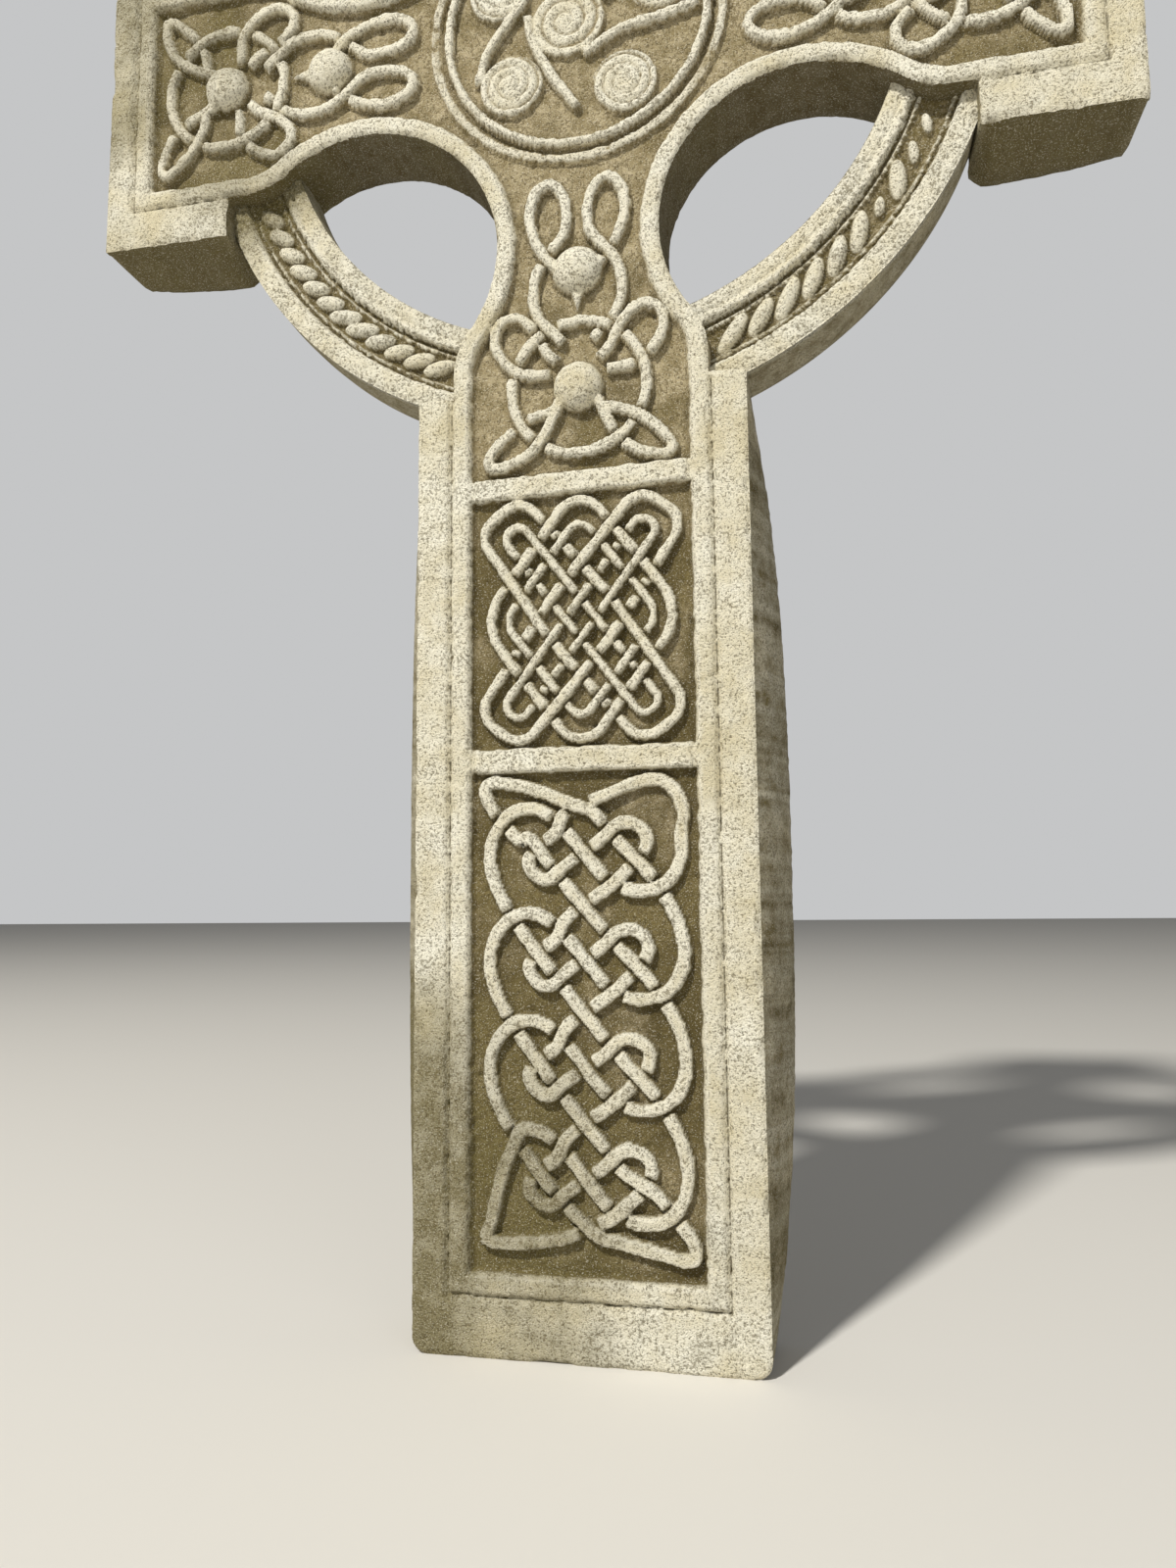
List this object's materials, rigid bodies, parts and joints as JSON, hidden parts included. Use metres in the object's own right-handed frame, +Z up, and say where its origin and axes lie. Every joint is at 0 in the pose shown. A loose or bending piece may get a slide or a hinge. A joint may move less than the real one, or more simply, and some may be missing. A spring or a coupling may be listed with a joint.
{
  "type": "celtic cross gravestone",
  "caption": "Thin cast-stone ring cross with knotwork panels, domed bosses, a spiral roundel and a rope-carved ring pierced between shaft and arms.",
  "frame": {"origin": "middle of the foot, at half the whole depth", "axes": "+Z up the shaft, -Y out of the carved face, +X to the right seen from the front"},
  "size_m": [0.34, 0.0312, 0.586],
  "materials": {
    "cast_stone": "sandy cast stone, sun-bleached cream on the raised faces and olive-brown in the hollows"
  },
  "bodies": {
    "root": {"celtic_cross": "cast_stone"}
  },
  "joints": []
}
